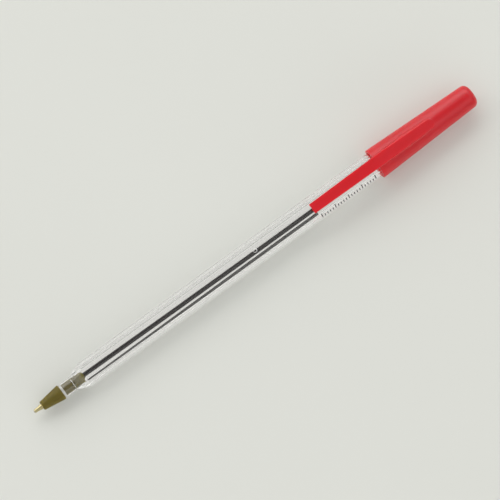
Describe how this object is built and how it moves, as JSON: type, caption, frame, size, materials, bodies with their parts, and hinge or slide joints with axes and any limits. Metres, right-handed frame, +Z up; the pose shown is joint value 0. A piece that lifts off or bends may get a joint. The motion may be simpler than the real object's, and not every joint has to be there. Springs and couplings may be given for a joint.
{
  "type": "capped stick ballpoint pen",
  "caption": "Stick ballpoint pen with a clear six-sided barrel, an ink tube inside, a tapered nose with a brass point, and a red clip cap posted on the rear end.",
  "frame": {"origin": "under the middle of the pen's length, on the surface that the cap's mouth lies on", "axes": "+X along the pen from the writing point to the cap's closed end, +Z up through the barrel's top flat, +Y to the side"},
  "size_m": [0.1644, 0.0098, 0.0113],
  "materials": {
    "clear_plastic": "clear polished",
    "red_plastic": "smooth moulded, slightly satin",
    "olive_plastic": "smooth moulded, slightly translucent",
    "point_brass": "turned",
    "ball_metal": "polished",
    "natural_plastic": "natural, translucent",
    "ink": "wet"
  },
  "bodies": {
    "pen": {"barrel": "clear_plastic", "end_plug": "red_plastic", "nose_cone": "olive_plastic", "writing_point": "point_brass", "ink_tube": "natural_plastic", "ink_column": "ink"},
    "cap": {"cap": "red_plastic"},
    "ball": {"ball": "ball_metal"}
  },
  "joints": [
    {"name": "cap_slide", "type": "slide", "parent": "pen", "child": "cap", "axis": [1, 0, 0], "range_m": [0, 0.036]},
    {"name": "ball_roll", "type": "hinge", "parent": "pen", "child": "ball", "pos_m": [-0.08175, 0, 0.00495], "axis": [0, 1, 0], "continuous": true}
  ]
}
